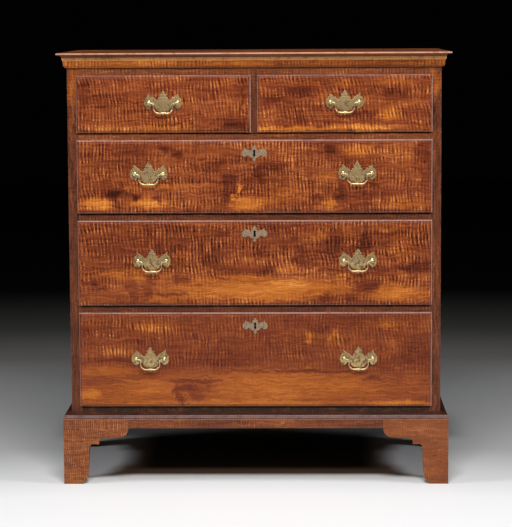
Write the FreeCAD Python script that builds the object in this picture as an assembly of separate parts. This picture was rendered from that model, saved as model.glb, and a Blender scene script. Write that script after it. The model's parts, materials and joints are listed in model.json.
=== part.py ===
"""A chest of drawers: two short over three long lipped drawers, on a moulded base with bracket feet.

X runs across the front, Y from the front to the back and Z up. The origin is on the floor, in the
middle of the overall width and depth. Every length is in millimetres.
"""
import FreeCAD, Part
import math
import os

Vector = FreeCAD.Vector

# The whole chest, from the floor up.
overall_width = 990.0
overall_depth = 495.0
top_overhang = 25.0
foot_height = 166.0
bottom_rail_height = 30.0
long_opening_heights = (238.0, 213.0, 181.5)
short_opening_height = 141.0
blade_thickness = 22.0
top_rail_height = 45.5
top_thickness = 16.0

# Case boards and frame.
side_thickness = 20.0
stile_width = 28.0
stile_depth = 22.0
blade_depth = 70.0
tenon_length = 12.0
tenon_setback = 6.0
tenon_shoulder = 4.0
case_bottom_thickness = 20.0
board_housing = 6.0
rear_rail_depth = 20.0
backboard_count = 4
backboard_thickness = 14.0
backboard_lap = 8.0
backboard_recess = 1.5
rear_rabbet_width = 10.0
divider_width = 28.0
divider_key_half = 10.0
divider_key_height = 20.0
divider_key_depth = 14.0
divider_foot_height = 10.0

# Strips that carry, guide and hold down the drawers.
runner_width = 50.0
guide_height = 30.0
kicker_width = 40.0
kicker_thickness = 20.0
centre_runner_half = 45.0
centre_kicker_half = 30.0

# Mouldings, base and feet.
cornice_reach = 12.0
cornice_height = 22.0
base_reach = 20.0
base_molding_height = 18.0
skirt_height = 22.0
bracket_width = 165.0
bracket_thickness = 22.0
rear_bracket_width = 110.0
foot_block_size = 16.0
foot_block_lift = 0.5

# Drawers.
lip_proud = 8.0
lip_overlap_side = 6.0
lip_overlap_top = 5.0
lip_gap = 0.3
front_thickness = 22.0
thumbnail_width = 6.5
thumbnail_depth = 6.4
front_lift = 1.0
running_gap = 0.3
side_gap = 0.8
top_gap = 3.0
box_rear_gap = 12.0
box_side_thickness = 12.0
box_back_thickness = 12.0
box_back_drop = 6.0
bottom_field_thickness = 9.0
bottom_tongue_thickness = 5.0
bottom_tongue_length = 5.0
bottom_tongue_clear = 1.0
bottom_bevel_width = 30.0
bottom_inset = 7.0
tail_pitch = 44.0
socket_depth = 10.0
pin_half_width = 3.0
pin_slope_share = 0.18

# Pulls: a shaped plate, two posts with nuts, and a bail that hangs in the posts.
plate_half_width = 48.0
plate_thickness = 1.6
post_half_spacing = 36.0
post_flange_radius = 5.5
post_flange_thickness = 1.0
post_neck_radius = 2.8
post_head_radius = 5.0
post_tip_radius = 1.2
post_shank_radius = 2.4
shank_clearance = 0.05
nut_width = 9.0
nut_thickness = 3.5
shank_tail = 1.5
pivot_height = 8.0
bail_radius = 1.9
bail_clearance = 0.08
bail_pin_length = 5.0
bail_end_play = 0.3
bail_arm_x = 24.8
bail_bend_radius = 4.6
bail_corner_radius = 10.0
bail_drop = 25.0
bail_swell_radius = 2.7
bail_swell_half = 14.0
short_pull_rise = 3.0
long_pull_rises = (2.1, 5.0, 6.9)
long_pull_offsets = ((-267.0, 262.0), (-260.0, 261.0), (-266.0, 259.0))

# Keyholes, their plates, and the locks behind them.
escutcheon_half_width = 32.0
escutcheon_thickness = 1.2
escutcheon_nail_x = 23.9
escutcheon_nail_drop = 7.5
nail_radius = 0.9
nail_head_radius = 2.1
nail_head_height = 1.0
nail_tip_radius = 0.6
nail_crown_share = 0.76
nail_length = 10.0
keyhole_drop = 28.0
keyhole_radius = 3.0
keyhole_top_half = 2.3
keyhole_foot_half = 3.0
keyhole_length = 14.0
lock_width = 64.0
lock_height = 46.0
lock_plate_thickness = 2.5
lock_selvage_thickness = 2.0
lock_selvage_depth = 10.0
lock_rib_width = 3.0
lock_rib_height = 30.0
lock_mortise_wall = 2.0
bolt_width = 24.0
bolt_thickness = 5.0
bolt_height = 18.0
bolt_travel = 9.0
bolt_gap = 0.3
bolt_notch_half = 4.0
bolt_notch_height = 6.0
strike_play = 1.0

overrun = 5.0

# Outlines as shares of the sizes they follow. A step with one point is a straight side, and a step
# with two points is an arc through the first to the second.
top_edge_shares = (
    ((0.48, 0.0),), ((0.48, 0.14),), ((0.56, 0.5), (0.9, 0.66)), ((1.0, 0.82), (0.88, 1.0)),
)
cornice_shares = (
    ((0.0, 0.0),), ((0.07, 0.04),), ((0.55, 0.14), (0.71, 0.37)), ((0.76, 0.7), (1.0, 1.0)),
    ((0.0, 1.0),),
)
base_molding_shares = (
    ((0.0, 0.0),), ((1.0, 0.0),), ((1.0, 0.28),), ((0.9, 0.34),), ((0.875, 0.58), (0.7, 0.7)),
    ((0.4, 0.79), (0.0, 1.0)),
)
thumbnail_shares = (((1.0, 0.0),), ((1.0, 0.19),), ((0.3, 0.42), (0.0, 1.0)))
bracket_shares = (
    ((0.0, 0.0),), ((0.291, 0.0),), ((0.37, 0.125),), ((0.4, 0.66),), ((0.425, 0.7), (0.491, 0.71)),
    ((0.552, 0.71),), ((0.56, 0.79), (0.615, 0.815)), ((0.88, 0.835),), ((0.963, 0.88), (1.0, 1.0)),
)
rear_bracket_shares = (
    ((0.0, 0.0),), ((0.2, 0.0),), ((0.3, 0.45), (1.0, 0.8)), ((1.0, 1.0),), ((0.0, 1.0),),
)
plate_shares = (
    ((0.0, 0.657),), ((0.073, 0.576), (0.12, 0.475)), ((0.165, 0.438), (0.231, 0.43)),
    ((0.18, 0.39), (0.17, 0.33)), ((0.25, 0.28), (0.288, 0.19)), ((0.327, 0.147),),
    ((0.4, 0.196), (0.5, 0.324)), ((0.55, 0.305), (0.57, 0.265)), ((0.59, 0.34), (0.647, 0.382)),
    ((0.74, 0.45), (0.853, 0.53)), ((0.81, 0.43), (0.824, 0.333)), ((0.998, 0.03), (0.843, -0.284)),
    ((0.716, -0.31), (0.608, -0.186)), ((0.51, -0.17), (0.412, -0.245)),
    ((0.314, -0.382), (0.157, -0.447)), ((0.069, -0.486),), ((0.082, -0.533), (0.137, -0.56)),
    ((0.055, -0.612), (0.0, -0.686)),
)
escutcheon_shares = (
    ((0.0, 0.47),), ((0.075, 0.39), (0.13, 0.29)), ((0.175, 0.255), (0.24, 0.25)),
    ((0.185, 0.2), (0.18, 0.13)), ((0.26, 0.08), (0.29, 0.0)), ((0.33, -0.02),),
    ((0.37, 0.04), (0.43, 0.1)), ((0.6, 0.14), (0.79, 0.31)), ((0.79, 0.17), (0.85, 0.06)),
    ((0.998, -0.25), (0.8, -0.44)), ((0.66, -0.43), (0.57, -0.35)), ((0.45, -0.36), (0.37, -0.43)),
    ((0.27, -0.52), (0.15, -0.56)), ((0.065, -0.6),), ((0.1, -0.66), (0.18, -0.69)),
    ((0.075, -0.76), (0.0, -0.88)),
)

# Places worked out from the sizes above.
case_half = overall_width / 2 - top_overhang
case_front = -overall_depth / 2 + top_overhang
case_back = overall_depth / 2
opening_half = case_half - stile_width
inner_half = case_half - side_thickness
stile_back = case_front + stile_depth
blade_back = case_front + blade_depth
board_back = case_back - backboard_recess
board_front = board_back - backboard_thickness
case_top = (
    foot_height + bottom_rail_height + sum(long_opening_heights)
    + len(long_opening_heights) * blade_thickness + short_opening_height + top_rail_height
)
overall_height = case_top + top_thickness
face_y = case_front - lip_proud
front_back_y = face_y + front_thickness


def opening_levels():
    """Lowest and highest Z of each drawer opening, from the bottom drawer up."""
    levels = []
    z = foot_height + bottom_rail_height
    for height in long_opening_heights + (short_opening_height,):
        levels.append((z, z + height))
        z += height + blade_thickness
    return levels


openings = opening_levels()


def block(x0, x1, y0, y1, z0, z1):
    """A box between two corners."""
    return Part.makeBox(x1 - x0, y1 - y0, z1 - z0, Vector(x0, y0, z0))


def on_xz(y):
    """Places an outline's points on the upright plane that faces the front, at depth y."""
    return lambda x, z: Vector(x, y, z)


def on_yz(x):
    """Places an outline's points on the upright plane that faces the side, at x."""
    return lambda y, z: Vector(x, y, z)


def on_xy(z):
    """Places an outline's points on the level plane at z."""
    return lambda x, y: Vector(x, y, z)


def scaled(steps, width, height, at=(0.0, 0.0)):
    """An outline's shares as lengths, from the point at."""
    return [[(at[0] + u * width, at[1] + v * height) for u, v in step] for step in steps]


def edges_along(steps, place):
    """Edges through the steps of an outline, from its first point."""
    edges = []
    here = steps[0][-1]
    for step in steps[1:]:
        points = [place(*point) for point in (here, *step)]
        edge = Part.Arc(*points) if len(step) == 2 else Part.LineSegment(*points)
        edges.append(edge.toShape())
        here = step[-1]
    return edges


def face_inside(steps, place):
    """The face inside an outline, closed by a straight side where its ends are apart."""
    closed = [*steps, [steps[0][-1]]] if steps[0][-1] != steps[-1][-1] else steps
    return Part.Face(Part.Wire(edges_along(closed, place)))


def polygon_face(points, place):
    """The face inside straight sides."""
    return face_inside([[point] for point in points], place)


def mirrored(shape):
    """The same shape on the other side of the chest."""
    return shape.mirror(Vector(0, 0, 0), Vector(1, 0, 0))


def mirrored_outline(half_steps):
    """A closed outline from its right half, which runs from the top to the bottom of the middle line."""
    left = []
    for here, step in zip(half_steps[-2::-1], half_steps[:0:-1]):
        turned = [(-step[0][0], step[0][1])] if len(step) == 2 else []
        left.append([*turned, (-here[-1][0], here[-1][1])])
    return [*half_steps, *left]


def joined(shapes):
    """Several solids as one."""
    whole = shapes[0].fuse(shapes[1:])
    return whole.removeSplitter()


def mitred_front(face_steps, reach, inside):
    """A strip along the front of the case, mitred at both ends. Its section is given outwards and up."""
    half = case_half + reach
    strip = face_inside(face_steps, lambda p, z: Vector(-half, case_front - p, z)).extrude(
        Vector(2 * half, 0, 0)
    )
    plan = [
        (-half, case_front - reach), (half, case_front - reach),
        (case_half + inside, case_front - inside), (-case_half - inside, case_front - inside),
    ]
    return strip.common(mitre_block(plan))


def mitred_side(face_steps, reach, inside):
    """The same strip along the right side, mitred at the front and square at the back."""
    start = case_front - reach
    strip = face_inside(face_steps, lambda p, z: Vector(case_half + p, start, z)).extrude(
        Vector(0, case_back - start, 0)
    )
    plan = [
        (case_half + inside, case_front - inside), (case_half + reach, start),
        (case_half + reach, case_back), (case_half + inside, case_back),
    ]
    return strip.common(mitre_block(plan))


def mitre_block(plan):
    """An upright block as tall as the chest over a plan."""
    return polygon_face(plan, on_xy(0)).extrude(Vector(0, 0, overall_height))


def mitred_set(face_steps, reach, inside):
    """Front, left and right strips of one moulding."""
    side = mitred_side(face_steps, reach, inside)
    return [mitred_front(face_steps, reach, inside), mirrored(side), side]


def rail(z0, z1, depth):
    """A rail across the front, with a stub tenon into each stile."""
    body = block(-opening_half, opening_half, case_front, case_front + depth, z0, z1)
    reach = opening_half + tenon_length
    tenon = block(
        -reach, reach, case_front + tenon_setback, stile_back, z0 + tenon_shoulder, z1 - tenon_shoulder
    )
    return joined([body, tenon])


def strike_mortise(level):
    """The pocket in a blade that a lock's bolt rises into."""
    top = level[1] - top_gap + bolt_travel + strike_play
    x = bolt_width / 2 + strike_play
    y = bolt_front_y()
    return block(-x, x, y - strike_play, y + bolt_thickness + strike_play, level[1] - overrun, top)


def bolt_front_y():
    """Front face of a lock's bolt, which slides against the lock's plate."""
    return front_back_y - bolt_gap - bolt_thickness


def case_rails():
    """Bottom rail, three blades, top rail and rear rail, from the bottom up."""
    rails = [rail(foot_height, openings[0][0], stile_depth)]
    for below, above in zip(openings, openings[1:]):
        blade = rail(below[1], above[0], blade_depth)
        rails.append(blade.cut(strike_mortise(below)))
    rails.append(rail(openings[-1][1], case_top, stile_depth))
    rear = block(
        -inner_half, inner_half, board_front - rear_rail_depth, board_front, openings[-1][1], case_top
    )
    rails.append(rear)
    return rails


def top_divider():
    """The upright between the two short drawers, keyed into the top rail and the blade below it."""
    z0, z1 = openings[-1]
    half = divider_width / 2
    body = block(-half, half, case_front, blade_back, z0, z1)
    key = block(
        -divider_key_half, divider_key_half, case_front, case_front + divider_key_depth,
        z1 - overrun, z1 + divider_key_height,
    )
    foot = block(
        -divider_key_half, divider_key_half, case_front + tenon_setback, blade_back - tenon_setback,
        z0 - divider_foot_height, z0 + overrun,
    )
    return joined([body, key, foot])


def case_bottom():
    """The board that closes the case below and carries the lowest drawer."""
    reach = inner_half + board_housing
    top = openings[0][0]
    return block(-reach, reach, stile_back, board_front, top - case_bottom_thickness, top)


def case_side(bottom):
    """The right side board, with a housing for the bottom and a rabbet for the backboards."""
    board = block(inner_half, case_half, stile_back, case_back, foot_height, case_top)
    rabbet = block(
        inner_half - overrun, inner_half + rear_rabbet_width, board_front, case_back + overrun,
        foot_height - overrun, case_top + overrun,
    )
    return board.cut(rabbet).cut(bottom)


def front_stile(rails):
    """The right stile, mortised for every rail and blade."""
    stile = block(opening_half, case_half, case_front, stile_back, foot_height, case_top)
    return stile.cut(rails)


def backboards():
    """Level boards in the rear rabbets, each lapped over the one below."""
    half = inner_half + rear_rabbet_width
    height = (case_top - foot_height) / backboard_count
    boards = []
    for index in range(backboard_count):
        z0 = foot_height + index * height
        z1 = z0 + height
        middle = board_front + backboard_thickness / 2
        board = block(-half, half, board_front, board_back, z0, z1)
        if index:
            board = board.fuse(block(-half, half, middle, board_back, z0 - backboard_lap, z0))
        if index < backboard_count - 1:
            board = board.cut(block(-half, half, middle, board_back, z1 - backboard_lap, z1))
        boards.append(board.removeSplitter())
    return boards


def top_board():
    """The top, with its moulded edge along the front and both sides."""
    back = [(case_back, case_top), (case_back, overall_height)]
    edge = scaled(top_edge_shares, top_overhang, top_thickness, (0.0, case_top))
    front_steps = [[(case_front - p, z) for p, z in step] for step in edge]
    along = face_inside([*front_steps, [back[1]], [back[0]]], on_yz(-overall_width))
    right_steps = [[(case_half + p, z) for p, z in step] for step in edge]
    half_width = [*right_steps, [(0.0, overall_height)], [(0.0, case_top)]]
    right = face_inside(half_width, on_xz(-overall_depth)).extrude(Vector(0, 2 * overall_depth, 0))
    across = joined([right, mirrored(right)])
    return along.extrude(Vector(2 * overall_width, 0, 0)).common(across)


def runners_and_guides():
    """Runners behind each blade, guides beside the drawers, and kickers over the short drawers."""
    strips = []
    for level in openings[1:]:
        under = block(inner_half - runner_width, inner_half, blade_back, board_front,
                      level[0] - blade_thickness, level[0])
        strips += [under, mirrored(under)]
    for level in openings:
        beside = block(opening_half, inner_half, stile_back, board_front, level[0], level[0] + guide_height)
        strips += [beside, mirrored(beside)]
    floor, roof = openings[-1]
    rail_front = board_front - rear_rail_depth
    over = block(inner_half - kicker_width, inner_half, stile_back, rail_front, roof, roof + kicker_thickness)
    strips += [over, mirrored(over)]
    strips.append(block(-centre_kicker_half, centre_kicker_half, stile_back, rail_front,
                        roof, roof + kicker_thickness))
    strips.append(block(-centre_runner_half, centre_runner_half, blade_back, board_front,
                        floor - blade_thickness, floor))
    half = divider_width / 2
    strips.append(block(-half, half, blade_back, board_front, floor, floor + guide_height))
    return strips


def bracket_steps():
    """The shaped bracket, as distance from the corner and height."""
    shaped = scaled(bracket_shares, bracket_width, foot_height - skirt_height)
    return [*shaped, [(bracket_width, foot_height)], [(0.0, foot_height)]]


def inner_reach():
    """How far the inside of the base boards lies from the face of the case: below zero is under it."""
    return base_reach - bracket_thickness


def foot_block(y):
    """The upright glue block inside a right foot, with its front face at y."""
    outer = case_half + inner_reach()
    return block(outer - foot_block_size, outer, y, y + foot_block_size, foot_block_lift, foot_height)


def front_foot():
    """Right front foot: two mitred brackets and the block behind them."""
    corner_x = case_half + base_reach
    corner_y = case_front - base_reach
    inside = inner_reach()
    front = face_inside(bracket_steps(), lambda d, z: Vector(corner_x - d, corner_y, z))
    front = front.extrude(Vector(0, bracket_thickness, 0))
    side = face_inside(bracket_steps(), lambda d, z: Vector(corner_x, corner_y + d, z))
    side = side.extrude(Vector(-bracket_thickness, 0, 0))
    front_half = [(0, corner_y), (corner_x, corner_y), (case_half + inside, case_front - inside),
                  (0, case_front - inside)]
    side_half = [(corner_x, corner_y), (corner_x, 0), (case_half + inside, 0),
                 (case_half + inside, case_front - inside)]
    return [
        front.common(mitre_block(front_half)), side.common(mitre_block(side_half)),
        foot_block(case_front - inside),
    ]


def rear_foot():
    """Right rear foot: a shaped side bracket, a plain bracket across the back, and the block."""
    corner_x = case_half + base_reach
    side = face_inside(bracket_steps(), lambda d, z: Vector(corner_x, case_back - d, z))
    side = side.extrude(Vector(-bracket_thickness, 0, 0))
    inner_x = corner_x - bracket_thickness
    plain = scaled(rear_bracket_shares, rear_bracket_width, foot_height)
    back = face_inside(plain, lambda d, z: Vector(inner_x - d, case_back, z))
    back = back.extrude(Vector(0, -bracket_thickness, 0))
    return [side, back, foot_block(case_back - bracket_thickness - foot_block_size)]


def base_skirt():
    """The narrow boards between the feet, at the front and both sides."""
    z0 = foot_height - skirt_height
    outer = case_half + base_reach
    front_y = case_front - base_reach
    half = outer - bracket_width
    front = block(-half, half, front_y, front_y + bracket_thickness, z0, foot_height)
    side = block(outer - bracket_thickness, outer, front_y + bracket_width, case_back - bracket_width,
                 z0, foot_height)
    return [front, side, mirrored(side)]


class Drawer:
    """Sizes and places of one drawer: its opening, its lip and its box."""

    def __init__(self, name, level, x0, x1, pulls, pull_rise, locked):
        self.name = name
        self.box_x = (x0 + side_gap, x1 - side_gap)
        self.lip_x = (x0 - lip_overlap_side, x1 + lip_overlap_side)
        self.lip_z = (level[0] + front_lift, level[1] + lip_overlap_top)
        self.top = level[1] - top_gap
        self.bottom = level[0] + running_gap
        self.rear = board_front - box_rear_gap
        self.pulls = pulls
        self.pull_z = sum(self.lip_z) / 2 + pull_rise
        self.locked = locked
        self.keyhole = (sum(self.lip_x) / 2, self.lip_z[1] - keyhole_drop)


def pin_spaces(x0, x1, end, step, z0, z1):
    """Gaps between the tails at one end of a drawer side: narrow at the end, wide at the shoulder."""
    tails = max(2, round((z1 - z0) / tail_pitch))
    pitch = (z1 - z0) / tails
    shoulder_half = pin_half_width + abs(step) * pin_slope_share
    out = end - math.copysign(overrun, step)
    narrow = pin_half_width - overrun * pin_slope_share
    gaps = []
    for index in range(tails + 1):
        z = z0 + index * pitch
        wedge = [(out, z - narrow), (end + step, z - shoulder_half),
                 (end + step, z + shoulder_half), (out, z + narrow)]
        gaps.append(polygon_face(wedge, on_yz(x0)).extrude(Vector(x1 - x0, 0, 0)))
    return gaps


def bottom_panel(drawer):
    """The drawer's bottom: its edges are bevelled below to a tongue, and it runs out under the back."""
    top = drawer.bottom + bottom_inset + bottom_field_thickness
    tongue = top - bottom_tongue_thickness
    field = top - bottom_field_thickness
    flat = bottom_tongue_length + bottom_tongue_clear
    left = drawer.box_x[0] + box_side_thickness - bottom_tongue_length
    right = drawer.box_x[1] - box_side_thickness + bottom_tongue_length
    front = front_back_y - bottom_tongue_length
    across = [
        (left, top), (left, tongue), (left + flat, tongue), (left + flat + bottom_bevel_width, field),
        (right - flat - bottom_bevel_width, field), (right - flat, tongue), (right, tongue), (right, top),
    ]
    along = [
        (front, top), (front, tongue), (front + flat, tongue), (front + flat + bottom_bevel_width, field),
        (drawer.rear, field), (drawer.rear, top),
    ]
    wide = polygon_face(across, on_xz(front)).extrude(Vector(0, drawer.rear - front, 0))
    deep = polygon_face(along, on_yz(left)).extrude(Vector(right - left, 0, 0))
    return wide.common(deep)


def drawer_sides(drawer, panel):
    """Left and right sides, dovetailed at both ends and grooved for the bottom."""
    front_y = front_back_y - socket_depth
    back_z0 = drawer.bottom + bottom_inset + bottom_field_thickness
    back_z1 = drawer.top - box_back_drop
    sides = []
    for x0 in (drawer.box_x[0], drawer.box_x[1] - box_side_thickness):
        x1 = x0 + box_side_thickness
        side = block(x0, x1, front_y, drawer.rear, drawer.bottom, drawer.top)
        gaps = pin_spaces(x0, x1, front_y, socket_depth, drawer.bottom, drawer.top)
        gaps += pin_spaces(x0, x1, drawer.rear, -box_back_thickness, back_z0, back_z1)
        sides.append(side.cut(gaps).cut(panel))
    return sides


def drawer_back(drawer, sides):
    """The back, above the bottom and lower than the sides, with pins through the sides' ends."""
    blank = block(
        drawer.box_x[0], drawer.box_x[1], drawer.rear - box_back_thickness, drawer.rear,
        drawer.bottom + bottom_inset + bottom_field_thickness, drawer.top - box_back_drop,
    )
    return blank.cut(sides)


def lipped_blank(drawer):
    """The front as planed: a moulded lip over a block that fills the opening."""
    x0, x1 = drawer.lip_x
    z0, z1 = drawer.lip_z
    lip_back = case_front - lip_gap
    edge = scaled(thumbnail_shares, thumbnail_width, thumbnail_depth)
    middle = (x0 + x1) / 2
    right = [[(x1 - s, face_y + t) for s, t in step] for step in edge]
    half_plan = [[(middle, face_y)], *right, [(x1, lip_back)], [(middle, lip_back)]]
    plan = face_inside(half_plan, on_xy(z0 - overrun)).extrude(Vector(0, 0, z1 - z0 + 2 * overrun))
    other = plan.mirror(Vector(middle, 0, 0), Vector(1, 0, 0))
    upper = [[(face_y + t, z1 - s) for s, t in step] for step in edge]
    centre = (z0 + z1) / 2
    half_section = [[(face_y, centre)], *upper, [(lip_back, z1)], [(lip_back, centre)]]
    section = face_inside(half_section, on_yz(x0 - overrun)).extrude(Vector(x1 - x0 + 2 * overrun, 0, 0))
    lower = section.mirror(Vector(0, 0, centre), Vector(0, 0, 1))
    lip = joined([plan, other]).common(joined([section, lower]))
    core = block(drawer.box_x[0], drawer.box_x[1], lip_back, front_back_y, z0, drawer.top)
    return joined([lip, core])


def keyhole_face(drawer, y):
    """A round hole over a slot that widens to its foot."""
    x, z = drawer.keyhole
    round_part = Part.Face(Part.Wire(Part.makeCircle(keyhole_radius, Vector(x, y, z), Vector(0, 1, 0))))
    slot = [(x - keyhole_top_half, z), (x + keyhole_top_half, z),
            (x + keyhole_foot_half, z - keyhole_length), (x - keyhole_foot_half, z - keyhole_length)]
    return [round_part, polygon_face(slot, on_xz(y))]


def keyhole_cut(drawer, y0, y1):
    """The keyhole, cut from y0 to y1."""
    run = Vector(0, y1 - y0, 0)
    return joined([face.extrude(run) for face in keyhole_face(drawer, y0)])


def lock_mortise(drawer):
    """The hollow behind the front for the lock's works and the way of its bolt."""
    x = drawer.keyhole[0]
    half = bolt_width / 2 + lock_rib_width + bolt_gap
    y0 = bolt_front_y() - lock_mortise_wall
    return block(x - half, x + half, y0, front_back_y + overrun,
                 drawer.top - lock_height + lock_mortise_wall, drawer.top + overrun)


def selvage_box(drawer):
    """The lock's top flange, let into the top edge of the front."""
    x = drawer.keyhole[0]
    return block(x - lock_width / 2, x + lock_width / 2, front_back_y - lock_selvage_depth,
                 front_back_y + lock_plate_thickness, drawer.top - lock_selvage_thickness, drawer.top)


def lock_plate(drawer):
    """A lock: its plate behind the front, a top flange slotted for the bolt, and the bolt's two ribs."""
    x = drawer.keyhole[0]
    plate = block(x - lock_width / 2, x + lock_width / 2, front_back_y, front_back_y + lock_plate_thickness,
                  drawer.top - lock_height, drawer.top)
    rib_x = bolt_width / 2 + bolt_gap
    rib = block(x + rib_x, x + rib_x + lock_rib_width, bolt_front_y(),
                front_back_y + lock_plate_thickness / 2,
                drawer.top - lock_selvage_thickness - lock_rib_height,
                drawer.top - lock_selvage_thickness / 2)
    other = rib.mirror(Vector(x, 0, 0), Vector(1, 0, 0))
    slot = block(x - rib_x, x + rib_x, bolt_front_y() - bolt_gap, front_back_y,
                 drawer.top - overrun, drawer.top + overrun)
    return joined([plate, selvage_box(drawer), rib, other]).cut(slot)


def lock_bolt(drawer):
    """The bolt, drawn down flush with the lock's flange, with the notch that the key turns in."""
    x = drawer.keyhole[0]
    half = bolt_width / 2
    y = bolt_front_y()
    bar = block(x - half, x + half, y, y + bolt_thickness, drawer.top - bolt_height, drawer.top)
    notch = block(x - bolt_notch_half, x + bolt_notch_half, y - overrun, y + bolt_thickness + overrun,
                  drawer.top - bolt_height - overrun, drawer.top - bolt_height + bolt_notch_height)
    return bar.cut(notch)


def batwing(shares, half_width, x, z, y, thickness):
    """A shaped plate from the shares of its right half, with its middle at x and z and its front at y."""
    outline = mirrored_outline(scaled(shares, half_width, half_width))
    placed = [[(x + u, z + v) for u, v in step] for step in outline]
    return face_inside(placed, on_xz(y)).extrude(Vector(0, thickness, 0))


def post_places(drawer):
    """Centre and inward direction of each post, pull by pull."""
    return [(x + side * post_half_spacing, -side) for x in drawer.pulls for side in (-1, 1)]


def rod(radius, start, run):
    """A round rod from start along run."""
    return Part.makeCylinder(radius, run.Length, start, run)


def shank_hole(x, z):
    """The hole for a post's shank, through the plate and the front."""
    start = Vector(x, face_y - plate_thickness - overrun, z)
    run = Vector(0, plate_thickness + front_thickness + 2 * overrun, 0)
    return rod(post_shank_radius + shank_clearance, start, run)


def brass_plates(drawer):
    """The pulls' plates, and on a locked drawer the keyhole's plate and its two nails."""
    plates = []
    front_y = face_y - plate_thickness
    for x in drawer.pulls:
        plate = batwing(plate_shares, plate_half_width, x, drawer.pull_z, front_y, plate_thickness)
        holes = [shank_hole(x + side * post_half_spacing, drawer.pull_z) for side in (-1, 1)]
        plates.append(plate.cut(holes))
    if drawer.locked:
        x, z = drawer.keyhole
        front_y = face_y - escutcheon_thickness
        plate = batwing(escutcheon_shares, escutcheon_half_width, x, z, front_y, escutcheon_thickness)
        nails = escutcheon_nails(drawer)
        plates.append(plate.cut(keyhole_cut(drawer, front_y - overrun, face_y + overrun)).cut(nails))
        plates += nails
    return plates


def turned_piece(x, y, z, steps):
    """A piece turned about a line from front to back: steps give its radius and how far it stands out."""
    half = face_inside(steps, lambda r, t: Vector(x, y - t, z + r))
    return half.revolve(Vector(x, y, z), Vector(0, 1, 0), 360)


def escutcheon_nails(drawer):
    """Two round-headed nails through the wings of the keyhole's plate."""
    x, z = drawer.keyhole
    head_y = face_y - escutcheon_thickness
    shoulder = (nail_head_radius + nail_tip_radius) / 2
    steps = [
        [(0.0, -nail_length)], [(nail_radius, -nail_length)], [(nail_radius, 0.0)], [(nail_head_radius, 0.0)],
        [(shoulder, nail_head_height * nail_crown_share), (nail_tip_radius, nail_head_height)],
        [(0.0, nail_head_height)],
    ]
    return [turned_piece(x + side * escutcheon_nail_x, head_y, z - escutcheon_nail_drop, steps)
            for side in (-1, 1)]


def post(x, inward, z):
    """A post: flange, neck and round head in front of the plate, bored from inside, and its shank."""
    plate_y = face_y - plate_thickness
    tail = plate_thickness + front_thickness + nut_thickness + shank_tail
    waist = pivot_height - math.sqrt(post_head_radius**2 - post_neck_radius**2)
    crown = pivot_height + math.sqrt(post_head_radius**2 - post_tip_radius**2)
    turned = turned_piece(x, plate_y, z, [
        [(0.0, -tail)], [(post_shank_radius, -tail)], [(post_shank_radius, 0.0)],
        [(post_flange_radius, 0.0)], [(post_flange_radius, post_flange_thickness)],
        [(post_neck_radius, (post_flange_thickness + waist) / 2)], [(post_neck_radius, waist)],
        [(post_head_radius, pivot_height), (post_tip_radius, crown)], [(0.0, crown)],
    ])
    depth = bail_pin_length + bail_end_play
    start = Vector(x + inward * (post_head_radius - depth), plate_y - pivot_height, z)
    bore = rod(bail_radius + bail_clearance, start, Vector(inward * (depth + overrun), 0, 0))
    return turned.cut(bore)


def nut(x, z):
    """The square nut on a post's shank, inside the drawer."""
    half = nut_width / 2
    body = block(x - half, x + half, front_back_y, front_back_y + nut_thickness, z - half, z + half)
    return body.cut(rod(post_shank_radius + shank_clearance, Vector(x, front_back_y - overrun, z),
                        Vector(0, nut_thickness + 2 * overrun, 0)))


def pull_posts(drawer):
    """Posts and nuts of a drawer's pulls."""
    places = post_places(drawer)
    posts = [post(x, inward, drawer.pull_z) for x, inward in places]
    return posts + [nut(x, drawer.pull_z) for x, _ in places]


def bail(x, z):
    """The hanging handle: a bent rod whose ends turn in the posts, swelling in the middle of its grip."""
    y = face_y - plate_thickness - pivot_height
    pin_x = post_half_spacing - post_head_radius + bail_pin_length
    bend = bail_bend_radius
    corner = bail_corner_radius
    turned = 1 - math.sqrt(1 / 2)
    half = [
        [(pin_x, 0.0)], [(bail_arm_x + bend, 0.0)],
        [(bail_arm_x + bend * turned, -bend * turned), (bail_arm_x, -bend)],
        [(bail_arm_x, corner - bail_drop)],
        [(bail_arm_x - corner * turned, -bail_drop + corner * turned), (bail_arm_x - corner, -bail_drop)],
        [(0.0, -bail_drop)],
    ]
    path = mirrored_outline(half)
    placed = [[(x + u, z + v) for u, v in step] for step in path]
    spine = Part.Wire(edges_along(placed, on_xz(y)))
    ring = Part.Wire(Part.makeCircle(bail_radius, Vector(x + pin_x, y, z), Vector(1, 0, 0)))
    tube = spine.makePipeShell([ring], True, True)
    swell = face_inside(
        [[(-bail_swell_half, 0.0)], [(-bail_swell_half, bail_radius)],
         [(0.0, bail_swell_radius), (bail_swell_half, bail_radius)], [(bail_swell_half, 0.0)]],
        lambda u, r: Vector(x + u, y, z - bail_drop + r),
    )
    grip = swell.revolve(Vector(x, y, z - bail_drop), Vector(1, 0, 0), 360)
    return tube.fuse(grip)


def drawer_front(drawer, sides, panel):
    """The lipped front, socketed for the sides, grooved for the bottom, bored for pulls and lock."""
    cutters = [*sides, panel]
    cutters += [shank_hole(x, drawer.pull_z) for x, _ in post_places(drawer)]
    if drawer.locked:
        cutters += [keyhole_cut(drawer, face_y - overrun, front_back_y + overrun)]
        cutters += [lock_mortise(drawer), selvage_box(drawer), *escutcheon_nails(drawer)]
    return lipped_blank(drawer).cut(cutters)


def all_drawers():
    """The drawers by name, from the top row down."""
    half = divider_width / 2
    middle = (opening_half + half) / 2
    top_level = openings[-1]
    short = [
        Drawer("drawer_1_left", top_level, -opening_half, -half, (-middle,), short_pull_rise, False),
        Drawer("drawer_1_right", top_level, half, opening_half, (middle,), short_pull_rise, False),
    ]
    rows = zip((4, 3, 2), openings, long_pull_offsets, long_pull_rises)
    long_ones = [
        Drawer(f"drawer_{row}", level, -opening_half, opening_half, pulls, rise, True)
        for row, level, pulls, rise in rows
    ]
    return short + long_ones[::-1]


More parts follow.
